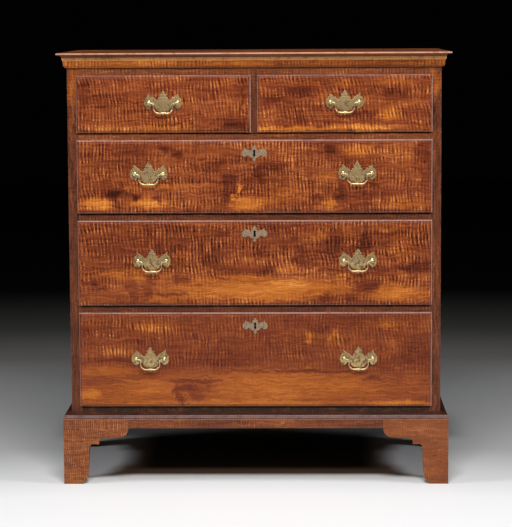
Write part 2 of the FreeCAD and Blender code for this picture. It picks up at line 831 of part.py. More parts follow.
def drawer_pieces(drawer):
    """Every piece of one drawer, by node name."""
    panel = bottom_panel(drawer)
    sides = drawer_sides(drawer, panel)
    pieces = {
        "front": [drawer_front(drawer, sides, panel)],
        "sides": sides,
        "back": [drawer_back(drawer, sides)],
        "bottom": [panel],
        "brass_plates": brass_plates(drawer),
        "pull_posts": pull_posts(drawer),
    }
    tags = ("bail_left", "bail_right") if len(drawer.pulls) == 2 else ("bail",)
    for tag, x in zip(tags, drawer.pulls):
        pieces[tag] = [bail(x, drawer.pull_z)]
    if drawer.locked:
        pieces["lock"] = [lock_plate(drawer)]
        pieces["lock_bolt"] = [lock_bolt(drawer)]
    return {f"{drawer.name}_{key}": solids for key, solids in pieces.items()}


def case_pieces():
    """Every piece of the case and its base, by node name."""
    divider = top_divider()
    rails = [one.cut(divider) for one in case_rails()]
    bottom = case_bottom()
    side = case_side(bottom)
    stile = front_stile(rails)
    foot = front_foot()
    hind = rear_foot()
    cornice = scaled(cornice_shares, cornice_reach, cornice_height, (0.0, case_top - cornice_height))
    base = scaled(base_molding_shares, base_reach, base_molding_height, (0.0, foot_height))
    return {
        "case_side_left": [mirrored(side)],
        "case_side_right": [side],
        "front_stiles": [mirrored(stile), stile],
        "case_rails": rails,
        "top_divider": [divider],
        "case_bottom": [bottom],
        "backboards": backboards(),
        "drawer_runners": runners_and_guides(),
        "top_board": [top_board()],
        "cornice_molding": mitred_set(cornice, cornice_reach, 0.0),
        "base_molding": mitred_set(base, base_reach, 0.0),
        "base_skirt": base_skirt(),
        "foot_front_left": [mirrored(solid) for solid in foot],
        "foot_front_right": foot,
        "foot_rear_left": [mirrored(solid) for solid in hind],
        "foot_rear_right": hind,
    }


def build():
    """Writes one file for each node."""
    os.makedirs("parts", exist_ok=True)
    nodes = case_pieces()
    for drawer in all_drawers():
        nodes.update(drawer_pieces(drawer))
    for name, solids in nodes.items():
        whole = Part.makeCompound([solid for shape in solids for solid in shape.Solids])
        whole.exportStep(f"parts/{name}.step")
        print(name, len(whole.Solids), "solids", round(whole.Volume), whole.isValid())


build()
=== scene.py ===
"""Looks of a chest of drawers: figured maple, old brasses, floor, light and camera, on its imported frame."""
import json
import math

import bmesh
import bpy
from mathutils import Matrix, Vector
from mathutils.geometry import tessellate_polygon

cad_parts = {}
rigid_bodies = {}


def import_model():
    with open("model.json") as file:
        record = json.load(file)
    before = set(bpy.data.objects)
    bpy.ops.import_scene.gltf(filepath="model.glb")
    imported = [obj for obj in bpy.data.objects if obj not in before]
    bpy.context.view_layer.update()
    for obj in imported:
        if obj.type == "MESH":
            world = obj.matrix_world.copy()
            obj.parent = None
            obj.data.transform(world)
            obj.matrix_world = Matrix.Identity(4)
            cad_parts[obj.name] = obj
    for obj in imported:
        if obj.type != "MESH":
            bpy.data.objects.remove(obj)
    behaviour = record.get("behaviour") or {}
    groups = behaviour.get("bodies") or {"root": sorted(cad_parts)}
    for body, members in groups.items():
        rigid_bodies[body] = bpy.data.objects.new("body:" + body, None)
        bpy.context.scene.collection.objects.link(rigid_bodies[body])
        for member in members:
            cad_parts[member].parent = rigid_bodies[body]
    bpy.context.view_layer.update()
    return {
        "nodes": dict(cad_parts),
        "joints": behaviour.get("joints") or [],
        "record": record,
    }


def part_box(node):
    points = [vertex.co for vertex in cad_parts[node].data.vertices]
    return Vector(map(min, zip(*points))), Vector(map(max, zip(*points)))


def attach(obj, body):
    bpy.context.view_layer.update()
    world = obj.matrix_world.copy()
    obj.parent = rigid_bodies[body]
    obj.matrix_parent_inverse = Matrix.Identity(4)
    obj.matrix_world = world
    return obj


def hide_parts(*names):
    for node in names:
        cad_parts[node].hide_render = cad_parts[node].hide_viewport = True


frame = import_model()
nodes = frame["nodes"]
record = frame["record"]
scene = bpy.context.scene
MM = 0.001
middle_grey = (0.5, 0.5, 0.5)  # the mean of a noise's colour


# ---- Node trees

def put(tree, kind, feeds=None, **settings):
    """Adds a node. feeds gives its inputs by name or place: a value, or another node's output."""
    made = tree.nodes.new(kind)
    for name, value in settings.items():
        setattr(made, name, value)
    for name, value in (feeds or {}).items():
        if isinstance(value, bpy.types.NodeSocket):
            tree.links.new(value, made.inputs[name])
        else:
            made.inputs[name].default_value = value
    return made


def calc(tree, operation, *values, clamp=False):
    """One step of arithmetic."""
    made = put(tree, "ShaderNodeMath", dict(enumerate(values)), operation=operation, use_clamp=clamp)
    return made.outputs[0]


def vector_calc(tree, operation, *values):
    """One step of arithmetic on vectors."""
    return put(tree, "ShaderNodeVectorMath", dict(enumerate(values)), operation=operation).outputs[0]


def length_of(tree, vector):
    """The length of a vector."""
    return put(tree, "ShaderNodeVectorMath", {0: vector}, operation="LENGTH").outputs["Value"]


def object_place(tree):
    """The place on the piece itself, in metres."""
    return put(tree, "ShaderNodeTexCoord").outputs["Object"]


def parted(tree, vector):
    """The three parts of a vector."""
    return put(tree, "ShaderNodeSeparateXYZ", {0: vector}).outputs


def gathered(tree, x, y, z):
    """A vector from its three parts."""
    return put(tree, "ShaderNodeCombineXYZ", {0: x, 1: y, 2: z}).outputs[0]


def mixed(tree, share, first, second, how="MIX"):
    """Two colours mixed by a share."""
    feeds = {0: share, 6: first, 7: second}
    return put(tree, "ShaderNodeMix", feeds, data_type="RGBA", blend_type=how).outputs[2]


def between(tree, value, low, high, to_low=0.0, to_high=1.0):
    """A value read smoothly between two limits."""
    feeds = {"Value": value, "From Min": low, "From Max": high, "To Min": to_low, "To Max": to_high}
    return put(tree, "ShaderNodeMapRange", feeds, interpolation_type="SMOOTHSTEP").outputs[0]


def cloud(tree, place, scale, detail=3.0, rough=0.55):
    """Noise with its own number of repeats per metre along each axis."""
    spread = vector_calc(tree, "MULTIPLY", place, scale)
    feeds = {"Vector": spread, "Scale": 1.0, "Detail": detail, "Roughness": rough}
    return put(tree, "ShaderNodeTexNoise", feeds).outputs[0]


def ramp(tree, value, stops):
    """A colour read along a row of stops."""
    made = put(tree, "ShaderNodeValToRGB", {0: value})
    band = made.color_ramp.elements
    while len(band) < len(stops):
        band.new(0.5)
    for element, (place, colour) in zip(band, stops):
        element.position = place
        element.color = (*colour, 1.0)
    return made.outputs[0]


def shader_group(name, inputs, outputs):
    """An empty shader group with named sockets, and its two ends."""
    group = bpy.data.node_groups.new(name, "ShaderNodeTree")
    for title, kind, value in inputs:
        socket = group.interface.new_socket(title, in_out="INPUT", socket_type="NodeSocket" + kind)
        socket.default_value = value
    for title, kind in outputs:
        group.interface.new_socket(title, in_out="OUTPUT", socket_type="NodeSocket" + kind)
    return group, group.nodes.new("NodeGroupInput").outputs, group.nodes.new("NodeGroupOutput").inputs


def use(tree, group, feeds):
    """Places a shader group in a tree."""
    return put(tree, "ShaderNodeGroup", feeds, node_tree=group).outputs


def grain_place_group():
    """Turns a board's own place so that its grain runs along X, and moves it to a spot of its own."""
    group, given, out = shader_group(
        "grain_place", [("Along", "Vector", (1, 0, 0)), ("Seed", "Float", 0.0)], [("Place", "Vector")])
    here = object_place(group)
    x, y, z = parted(group, here)
    parts = [vector_calc(group, "SCALE", way) for way in (
        here, gathered(group, y, x, z), gathered(group, z, y, x))]
    for part, share in zip(parts, parted(group, given["Along"])):
        group.links.new(share, part.node.inputs["Scale"])
    turned = vector_calc(group, "ADD", vector_calc(group, "ADD", parts[0], parts[1]), parts[2])
    seed = given["Seed"]
    apart = gathered(group, seed, seed, seed)
    group.links.new(vector_calc(group, "MULTIPLY_ADD", apart, (3.7, 1.3, 2.9), turned), out["Place"])
    return group


def curly_figure_group():
    """Curl across the grain, clouds of tone along it, fine grain lines, and dark flecks."""
    group, given, out = shader_group(
        "curly_figure",
        [("Place", "Vector", (0, 0, 0)), ("Stripes per metre", "Float", 110.0), ("Slant", "Float", 0.0)],
        [("Stripes", "Float"), ("Clouds", "Float"), ("Grain", "Float"), ("Flecks", "Float")])
    place = given["Place"]
    feeds = {"Vector": place, "Scale": 26.0, "Detail": 3.0}
    drift = put(group, "ShaderNodeTexNoise", feeds).outputs["Color"]
    drift = vector_calc(group, "SUBTRACT", drift, middle_grey)
    bent = vector_calc(group, "ADD", place, vector_calc(group, "MULTIPLY", drift, (0.009, 0.02, 0.02)))
    x, y, z = parted(group, bent)
    run = calc(group, "MULTIPLY_ADD", z, given["Slant"], x)
    count = calc(group, "MULTIPLY", run, given["Stripes per metre"])
    sway = cloud(group, place, (5.0, 6.0, 8.0), 2.0)
    turn = calc(group, "MULTIPLY_ADD", count, math.tau, calc(group, "MULTIPLY", sway, 20.0))
    wave = calc(group, "MULTIPLY_ADD", calc(group, "SINE", turn), 0.5, 0.5)
    cell = gathered(group, calc(group, "MULTIPLY", count, 2.3), calc(group, "MULTIPLY", y, 30.0),
                    calc(group, "MULTIPLY", z, 26.0))
    feeds = {"Vector": cell, "Scale": 1.0, "Detail": 2.0, "Roughness": 0.6}
    cells = between(group, put(group, "ShaderNodeTexNoise", feeds).outputs[0], 0.36, 0.64)
    stripes = calc(group, "ADD", calc(group, "MULTIPLY", wave, 0.55), calc(group, "MULTIPLY", cells, 0.45))
    strength = between(group, cloud(group, bent, (11.0, 30.0, 58.0), 3.0, 0.62), 0.34, 0.62, 0.15, 1.2)
    fine = between(group, cloud(group, bent, (14.0, 60.0, 330.0), 2.0, 0.6), 0.35, 0.6, 0.45, 1.2)
    strength = calc(group, "MULTIPLY", strength, fine)
    level = calc(group, "MULTIPLY", calc(group, "SUBTRACT", stripes, 0.5), strength)
    group.links.new(calc(group, "ADD", level, 0.5), out["Stripes"])
    group.links.new(cloud(group, bent, (5.0, 5.0, 17.0), 4.0), out["Clouds"])
    group.links.new(cloud(group, bent, (10.0, 170.0, 230.0), 4.0, 0.7), out["Grain"])
    flecks = between(group, cloud(group, bent, (70.0, 150.0, 260.0), 2.0, 0.6), 0.6, 0.72)
    group.links.new(flecks, out["Flecks"])
    return group


def soft_mark_group():
    """Adds one soft-edged patch to the shade and to the strength of the figure."""
    group, given, out = shader_group(
        "soft_mark",
        [("Place", "Vector", (0, 0, 0)), ("Centre", "Vector", (0, 0, 0)), ("Reach", "Vector", (1, 1, 1)),
         ("Shade by", "Float", 0.0), ("Figure by", "Float", 0.0),
         ("Shade", "Float", 0.0), ("Figure", "Float", 0.0)],
        [("Shade", "Float"), ("Figure", "Float")])
    away = vector_calc(group, "SUBTRACT", given["Place"], given["Centre"])
    away = vector_calc(group, "DIVIDE", away, given["Reach"])
    mask = between(group, length_of(group, away), 1.3, 0.2)
    for title in ("Shade", "Figure"):
        group.links.new(calc(group, "MULTIPLY_ADD", mask, given[title + " by"], given[title]), out[title])
    return group


def edge_wear_and_sheen_group():
    """Where a piece's edges are, as its rounded normal leaves its own, broken up as handling breaks it up: a
    mask for edge wear, and on light-edged wood also for painted highlights.
    """
    group, given, out = shader_group(
        "edge_wear_and_sheen", [("Width", "Float", 0.0015), ("Rub", "Float", 0.5)], [("Edge", "Float")])
    rounded = put(group, "ShaderNodeBevel", {"Radius": given["Width"]}, samples=6).outputs[0]
    own = put(group, "ShaderNodeNewGeometry").outputs["Normal"]
    same = put(group, "ShaderNodeVectorMath", {0: rounded, 1: own}, operation="DOT_PRODUCT").outputs["Value"]
    edge = between(group, same, 0.985, 0.8)
    rub = between(group, cloud(group, object_place(group), (38.0, 38.0, 38.0), 4.0, 0.65), 0.62, 0.38)
    kept = put(group, "ShaderNodeMix", {0: given["Rub"], 2: 1.0, 3: rub}, data_type="FLOAT").outputs[0]
    group.links.new(calc(group, "MULTIPLY", edge, kept, clamp=True), out["Edge"])
    return group


def metal_age_group():
    """Tarnish and fine scratches on a metal."""
    group, given, out = shader_group(
        "metal_age", [("Amount", "Float", 0.5)], [("Tarnish", "Float"), ("Scratches", "Float")])
    here = object_place(group)
    blotch = cloud(group, here, (120.0, 120.0, 120.0), 4.0, 0.6)
    low = calc(group, "SUBTRACT", 0.78, calc(group, "MULTIPLY", given["Amount"], 0.5))
    group.links.new(between(group, blotch, low, calc(group, "ADD", low, 0.22)), out["Tarnish"])
    group.links.new(cloud(group, here, (1500.0, 400.0, 500.0), 3.0, 0.7), out["Scratches"])
    return group


grain_place = grain_place_group()
curly_figure = curly_figure_group()
soft_mark = soft_mark_group()
edge_wear_and_sheen = edge_wear_and_sheen_group()
metal_age = metal_age_group()


# ---- Finishes

maple_stops = (
    (0.0, (0.034, 0.008, 0.004)), (0.2, (0.084, 0.016, 0.007)), (0.4, (0.164, 0.034, 0.012)),
    (0.55, (0.248, 0.058, 0.018)), (0.75, (0.405, 0.117, 0.032)), (1.0, (0.720, 0.285, 0.090)),
)
case_stops = (
    (0.0, (0.016, 0.006, 0.005)), (0.25, (0.055, 0.017, 0.011)), (0.5, (0.135, 0.041, 0.020)),
    (0.75, (0.260, 0.075, 0.026)), (1.0, (0.520, 0.210, 0.075)),
)
golden_stops = (
    (0.0, (0.030, 0.008, 0.004)), (0.2, (0.095, 0.020, 0.006)), (0.4, (0.215, 0.050, 0.010)),
    (0.55, (0.365, 0.093, 0.014)), (0.75, (0.540, 0.165, 0.026)), (1.0, (0.780, 0.330, 0.080)),
)
raw_stops = ((0.0, (0.16, 0.082, 0.036)), (0.5, (0.37, 0.205, 0.095)), (1.0, (0.56, 0.35, 0.175)))

# How deep into a board a mark reaches, in metres; the least strength that marks leave the curl; and the share
# of a drawn line's reach that has its full strength.
any_depth, least_figure, line_core = 10.0, 0.06, 0.45


def new_finish(name):
    """An empty material and its tree."""
    finish = bpy.data.materials.new(name)
    finish.use_nodes = True
    finish.node_tree.nodes.clear()
    return finish, finish.node_tree


def surface(tree, feeds):
    """The shader at the end of a finish."""
    shader = put(tree, "ShaderNodeBsdfPrincipled", feeds)
    put(tree, "ShaderNodeOutputMaterial", {"Surface": shader.outputs[0]})


def wood_tone(tree, place, figure, slant, stripes, tone, marks, marks_place, weights):
    """A board's level of tone, its shade without figure, its curl and its grain.

    weights are for curl, clouds, grain and flecks, and marks are as figure_marks has them.
    """
    curl, clouds, grain, flecks = use(
        tree, curly_figure, {"Place": place, "Stripes per metre": stripes, "Slant": slant})
    shade, strength = tone, figure
    for x, z, reach_x, reach_z, shade_by, figure_by in marks:
        shade, strength = use(tree, soft_mark, {
            "Place": marks_place, "Centre": (x * MM, 0, z * MM),
            "Reach": (reach_x * MM, any_depth, reach_z * MM),
            "Shade by": shade_by, "Figure by": figure_by, "Shade": shade, "Figure": strength})
    strength = calc(tree, "MULTIPLY", calc(tree, "MAXIMUM", strength, least_figure), weights[0])
    level = calc(tree, "MULTIPLY", calc(tree, "SUBTRACT", curl, 0.5), strength)
    for value, weight in ((clouds, weights[1]), (grain, weights[2])):
        level = calc(tree, "MULTIPLY_ADD", calc(tree, "SUBTRACT", value, 0.5), weight, level)
    level = calc(tree, "MULTIPLY_ADD", flecks, -weights[3], level)
    return calc(tree, "ADD", level, shade), shade, curl, grain


def drawn_lines(tree, here, colour, lines):
    """Thin lines of colour, mostly painted highlights and painted shade, some of them also wear. Each has its
    axis, place and reach in millimetres, colour and strength.
    """
    if not lines:
        return colour
    axes = parted(tree, here)
    breaks = between(tree, cloud(tree, here, (55.0, 55.0, 55.0), 4.0, 0.65), 0.3, 0.55, 0.45, 1.0)
    for axis, place, reach, tone, strength in lines:
        away = calc(tree, "ABSOLUTE", calc(tree, "SUBTRACT", axes[axis], place * MM))
        mask = between(tree, away, reach * MM, reach * line_core * MM, 0.0, strength)
        colour = mixed(tree, calc(tree, "MULTIPLY", mask, breaks), colour, (*tone, 1.0))
    return colour


def maple(name, along=(1, 0, 0), seed=0.0, tone=0.5, figure=1.0, slant=0.0, stripes=118.0, marks=(), lines=(),
          weights=(0.62, 0.6, 0.95, 0.14), stops=case_stops, raw=None, rub=0.6, edge_tone=(0.42, 0.19, 0.11),
          edge_width=0.0016, gloss=0.34):
    """Figured maple under old shellac.

    raw is (axis, low, high): the board turns bare from low to high, in metres. gloss is its usual roughness.
    """
    finish, tree = new_finish(name)
    place = use(tree, grain_place, {"Along": along, "Seed": seed})[0]
    here = object_place(tree)
    feeds = {"Vector": here, "Scale": 36.0, "Detail": 4.0, "Roughness": 0.68}
    wander = put(tree, "ShaderNodeTexNoise", feeds).outputs["Color"]
    wander = vector_calc(tree, "SUBTRACT", wander, middle_grey)
    astray = vector_calc(tree, "MULTIPLY_ADD", wander, (0.09, 0.0, 0.026), here)
    level, shade, curl, grain = wood_tone(
        tree, place, figure, slant, stripes, tone, marks, astray, weights)
    colour = ramp(tree, level, stops)
    if marks:
        warm = calc(tree, "MULTIPLY", cloud(tree, place, (4.0, 8.0, 14.0), 3.0), 0.9)
        warm = calc(tree, "MULTIPLY_ADD", calc(tree, "SUBTRACT", shade, tone), 2.0, warm)
        colour = mixed(tree, between(tree, warm, 0.42, 0.95), colour, ramp(tree, level, golden_stops))
    # Edges turn to edge_tone: where that tone is light, this is partly real wear and partly a painted
    # highlight along the rounded edges.
    edge = use(tree, edge_wear_and_sheen, {"Width": edge_width, "Rub": rub})[0]
    colour = mixed(tree, calc(tree, "MULTIPLY", edge, 0.6), colour, (*edge_tone, 1.0))
    colour = drawn_lines(tree, here, colour, lines)
    rough = between(tree, grain, 0.3, 0.75, gloss - 0.06, gloss + 0.12)
    if raw:
        bare = ramp(tree, level, raw_stops)
        axis, low, high = raw
        along_axis = parted(tree, here)[axis]
        if axis == 0:
            along_axis = calc(tree, "ABSOLUTE", along_axis)
        hidden = between(tree, along_axis, low, high)
        colour = mixed(tree, hidden, colour, bare)
        rough = put(tree, "ShaderNodeMix", {0: hidden, 2: rough, 3: 0.75}, data_type="FLOAT").outputs[0]
    height = calc(tree, "ADD", calc(tree, "MULTIPLY", curl, 0.35), calc(tree, "MULTIPLY", grain, 0.65))
    softened = put(tree, "ShaderNodeBevel", {"Radius": 0.0012}, samples=4).outputs[0]
    bump = put(tree, "ShaderNodeBump", {
        "Strength": 0.35, "Distance": 0.0006, "Height": height, "Normal": softened}).outputs[0]
    surface(tree, {"Base Color": colour, "Roughness": rough, "Normal": bump, "Coat Weight": 0.04,
                   "Coat Roughness": 0.16, "Specular IOR Level": 0.1})
    return finish


def bare_board(name, along, seed, tone=0.5):
    """Unfinished pine, browned with age."""
    finish, tree = new_finish(name)
    place = use(tree, grain_place, {"Along": along, "Seed": seed})[0]
    _, y, z = parted(tree, place)
    sway = calc(tree, "MULTIPLY", cloud(tree, place, (2.5, 6.0, 6.0), 2.0), 26.0)
    rings = calc(tree, "SINE", calc(tree, "MULTIPLY_ADD", calc(tree, "ADD", y, z), 420.0, sway))
    fine = cloud(tree, place, (12.0, 240.0, 240.0), 3.0, 0.6)
    stain = cloud(tree, place, (3.0, 9.0, 9.0), 4.0)
    level = calc(tree, "MULTIPLY_ADD", rings, 0.1, tone)
    for value, weight in ((fine, 0.45), (stain, 0.8)):
        level = calc(tree, "MULTIPLY_ADD", calc(tree, "SUBTRACT", value, 0.5), weight, level)
    edge = use(tree, edge_wear_and_sheen, {"Width": 0.0015, "Rub": 0.7})[0]
    edge = calc(tree, "MULTIPLY", edge, 0.45)
    colour = mixed(tree, edge, ramp(tree, level, raw_stops), (0.2, 0.11, 0.055, 1.0))
    height = calc(tree, "ADD", calc(tree, "MULTIPLY", rings, 0.25), calc(tree, "MULTIPLY", fine, 0.75))
    bump = put(tree, "ShaderNodeBump", {"Strength": 0.5, "Distance": 0.0008, "Height": height}).outputs[0]
    surface(tree, {"Base Color": colour, "Roughness": 0.8, "Normal": bump})
    return finish


def metal(name, bright, dull, tarnish, rough):
    """An old metal: bright where it is handled, dull elsewhere."""
    finish, tree = new_finish(name)
    spots, scratches = use(tree, metal_age, {"Amount": tarnish})
    edge = use(tree, edge_wear_and_sheen, {"Width": 0.0008, "Rub": 0.4})[0]
    kept = calc(tree, "MULTIPLY", spots, calc(tree, "SUBTRACT", 1.0, edge, clamp=True))
    colour = mixed(tree, kept, (*bright, 1.0), (*dull, 1.0))
    shine = between(tree, kept, 0.0, 1.0, 1.0, 0.45)
    grit = calc(tree, "ADD", calc(tree, "MULTIPLY", kept, 0.22), calc(tree, "MULTIPLY", scratches, 0.14))
    bump = put(tree, "ShaderNodeBump", {"Strength": 0.25, "Distance": 0.0002, "Height": scratches}).outputs[0]
    surface(tree, {"Base Color": colour, "Metallic": shine, "Roughness": calc(tree, "ADD", grit, rough),
                   "Normal": bump})
    return finish


# ---- Marks of the figure on each drawer front: x and z of the centre and the reach along x and z in
# millimetres, then how far the mark lightens the board, and how far it strengthens the curl.

figure_marks = {
    "drawer_1_left": (
        (-58, 923, 36, 22, -0.2, -0.7), (-384, 961, 26, 6, -0.19, 0.0), (-378, 991, 34, 6, -0.15, 0.0),
        (-427, 997, 24, 40, -0.13, -0.3), (-67, 987, 30, 22, 0.05, -0.2), (-260, 907, 180, 10, 0.13, 0.2),
        (-24, 957, 6, 70, -0.19, -0.3), (-180, 951, 60, 60, 0.06, 0.2), (-75, 1016, 40, 18, 0.09, 0.0),
        (-225, 1013, 60, 16, -0.08, 0.0),
    ),
    "drawer_1_right": (
        (112, 1001, 44, 14, -0.2, -0.4), (352, 989, 48, 13, -0.2, -0.2), (263, 940, 48, 10, -0.2, -0.2),
        (60, 904, 170, 9, 0.24, -0.1), (300, 904, 60, 8, 0.12, 0.0), (337, 940, 42, 18, 0.17, 0.1),
        (281, 909, 150, 10, 0.16, 0.0),
        (358, 1026, 60, 14, 0.12, 0.0), (106, 940, 60, 22, -0.1, 0.2),
        (222, 1020, 44, 13, 0.15, 0.0), (45, 978, 26, 20, -0.12, 0.0), (168, 982, 30, 20, 0.1, 0.0),
    ),
    "drawer_2": (
        (-302, 731, 14, 12, -0.42, -1), (-352, 740, 34, 15, -0.34, -0.6), (-188, 843, 15, 11, -0.34, -0.8),
        (-241, 729, 13, 18, -0.24, 0.0), (-100, 812, 34, 15, -0.1, -0.2), (-390, 722, 34, 28, 0.09, -0.3),
        (-226, 856, 30, 9, -0.26, -0.2), (-69, 776, 22, 22, -0.2, -0.2), (-66, 736, 26, 26, -0.2, -0.3),
        (-41, 751, 8, 28, 0.32, -1), (-407, 717, 52, 20, 0.24, -0.5), (-265, 719, 62, 16, 0.24, -0.5),
        (-18, 716, 62, 22, 0.24, -0.3), (-190, 760, 130, 9, 0.15, -0.5), (185, 850, 17, 26, -0.21, -0.8),
        (15, 794, 15, 24, -0.21, -0.5), (48, 811, 40, 12, -0.28, -0.2), (60, 851, 80, 24, 0.04, 0.0),
        (203, 788, 52, 13, 0.1, -0.4), (219, 745, 15, 50, -0.21, -0.8), (194, 715, 42, 20, 0.17, -0.4),
        (160, 730, 24, 11, -0.2, -0.4), (264, 739, 48, 14, -0.17, -0.3), (298, 764, 14, 10, -0.22, -0.3),
        (430, 828, 26, 90, -0.22, -0.7), (262, 852, 56, 20, 0.2, 0.1), (350, 850, 50, 22, 0.1, 0.0),
        (356, 717, 90, 20, 0.16, 0.0), (-350, 840, 110, 32, -0.06, 0.0), (75, 734, 56, 24, 0.12, -0.2),
    ),
    "drawer_3": (
        (40, 500, 250, 38, 0.28, -1.2), (-14, 530, 60, 10, 0.12, -0.4), (-385, 486, 84, 26, 0.02, -0.4),
        (-434, 490, 24, 26, -0.08, 0.0), (-312, 496, 15, 46, -0.14, -0.6),
        (-280, 490, 15, 30, -0.14, -0.4), (-415, 517, 26, 9, -0.24, -0.6), (-385, 502, 28, 7, -0.24, -0.2),
        (-258, 514, 22, 7, -0.21, -0.2), (-194, 524, 30, 11, -0.19, -0.6), (-317, 539, 90, 18, 0.15, -0.4),
        (-16, 576, 42, 16, 0.06, 0.0), (-209, 653, 62, 11, -0.17, 0.0), (288, 505, 40, 19, -0.26, -0.8),
        (244, 475, 24, 16, -0.14, -0.6), (174, 478, 17, 18, -0.13, -0.2), (340, 551, 62, 11, -0.17, -0.5),
        (417, 552, 60, 15, -0.22, -0.6), (278, 626, 15, 42, -0.19, 0.0), (198, 619, 24, 30, -0.2, 0.0),
        (118, 573, 19, 30, -0.22, 0.0), (370, 600, 40, 50, 0.08, 0.2), (354, 487, 100, 27, 0.2, -1),
        (94, 548, 70, 11, 0.16, -0.2), (32, 551, 30, 16, -0.24, 0.0), (159, 631, 42, 15, 0.08, 0.0),
        (-385, 622, 95, 52, -0.08, 0.2), (-210, 524, 130, 13, 0.1, -0.3), (226, 530, 34, 13, 0.14, -0.2),
        (342, 655, 42, 14, 0.1, 0.1), (-194, 590, 30, 30, 0.07, 0.0),
        (-290, 496, 200, 40, 0.07, -0.7), (-104, 588, 34, 28, -0.12, 0.2), (8, 600, 18, 30, -0.15, 0.1),
        (-258, 527, 24, 8, -0.22, 0.0), (-210, 486, 60, 5, -0.12, 0.0), (-225, 474, 70, 12, 0.1, -0.3),
    ),
    "drawer_4": (
        (0, 246, 620, 56, 0.16, -1.2), (-196, 232, 15, 30, -0.2, 0.3), (-172, 246, 26, 12, -0.16, 0.2),
        (-150, 264, 74, 7, -0.17, 0.1), (-136, 247, 40, 16, -0.09, 0.1),
        (-152, 224, 20, 13, -0.13, 0.3), (-184, 208, 9, 13, -0.2, 0.0), (-140, 318, 150, 22, -0.07, 0.2),
        (-330, 318, 130, 6, -0.1, 0.0), (-375, 291, 100, 20, 0.12, -0.6), (0, 202, 640, 13, 0.12, -0.3),
        (-350, 340, 60, 18, 0.11, 0.3), (-417, 230, 32, 14, 0.18, 0.0), (-257, 401, 62, 16, 0.12, 0.2),
        (-282, 367, 62, 9, -0.05, 0.0), (138, 371, 15, 20, 0.18, 0.2), (197, 380, 13, 27, 0.16, 0.2),
        (337, 410, 34, 24, 0.08, 0.2), (347, 359, 26, 24, 0.09, 0.2), (292, 269, 24, 9, -0.17, 0.0),
        (169, 398, 32, 13, -0.1, 0.0), (415, 328, 62, 26, -0.08, -0.2), (120, 288, 210, 4, -0.14, 0.0),
        (-330, 396, 150, 44, 0.05, 0.5), (352, 205, 84, 9, 0.18, 0.0),
    ),
}
front_looks = {
    "drawer_1_left": dict(seed=1.1, tone=0.47, figure=1.0, slant=0.1, stripes=114.0),
    "drawer_1_right": dict(seed=2.3, tone=0.48, figure=0.95, slant=0.16, stripes=108.0),
    "drawer_2": dict(seed=3.7, tone=0.49, figure=1.0, slant=0.03, stripes=116.0),
    "drawer_3": dict(seed=4.2, tone=0.46, figure=1.15, slant=0.06, stripes=110.0),
    "drawer_4": dict(seed=5.9, tone=0.44, figure=0.6, slant=0.05, stripes=114.0,
                     weights=(0.6, 0.4, 0.7, 0.12)),
}
# Lip lines: the first two tones are painted highlights, partly also wear, the third is painted shade, and the
# golden one below is a light line along the short drawers' lower lip.
lip_highlight, lip_side, lip_shade = (0.50, 0.31, 0.25), (0.36, 0.22, 0.19), (0.060, 0.014, 0.009)
lip_golden = (0.46, 0.21, 0.08)
# These tones are painted light and wear: the first paints shadow under the drawer lips and under the cornice,
# the second a painted reflection on the base moulding, the third worn edges with a painted highlight.
painted_shadow, painted_sheen, pale_wear_and_sheen = (0.006, 0.002, 0.0015), (0.36, 0.245, 0.24), (0.62, 0.33, 0.20)


def lip_lines(drawer):
    """Painted highlight lines round a front's lip, partly also wear, strongest along the top where the light
    falls, with lines of painted shade inside them.
    """
    low, high = (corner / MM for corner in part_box(drawer + "_front"))
    short = drawer.startswith("drawer_1")
    top_light = 0.2 if short else 0.55
    return (
        (2, high.z - 4.2, 1.6, lip_shade, 0.5), (2, high.z - 1.2, 1.9, lip_highlight, top_light),
        (0, low.x + 3.6, 1.4, lip_shade, 0.45), (0, low.x + 1.0, 1.5, lip_side, 0.55),
        (0, high.x - 3.8, 1.4, lip_shade, 0.45), (0, high.x - 1.2, 1.9, lip_highlight, 0.7),
        (2, low.z + 2.4, 1.6, lip_golden if short else lip_side, 0.4),
    )


across, deep, upright = (1, 0, 0), (0, 1, 0), (0, 0, 1)

# Where the finish gives way to bare wood: just behind the case's front, and just inside its sides' outside.
face_back = -0.2217
case_front_only = (1, face_back, face_back + 0.0005)
outside_only = (0, 0.4692, 0.4688)

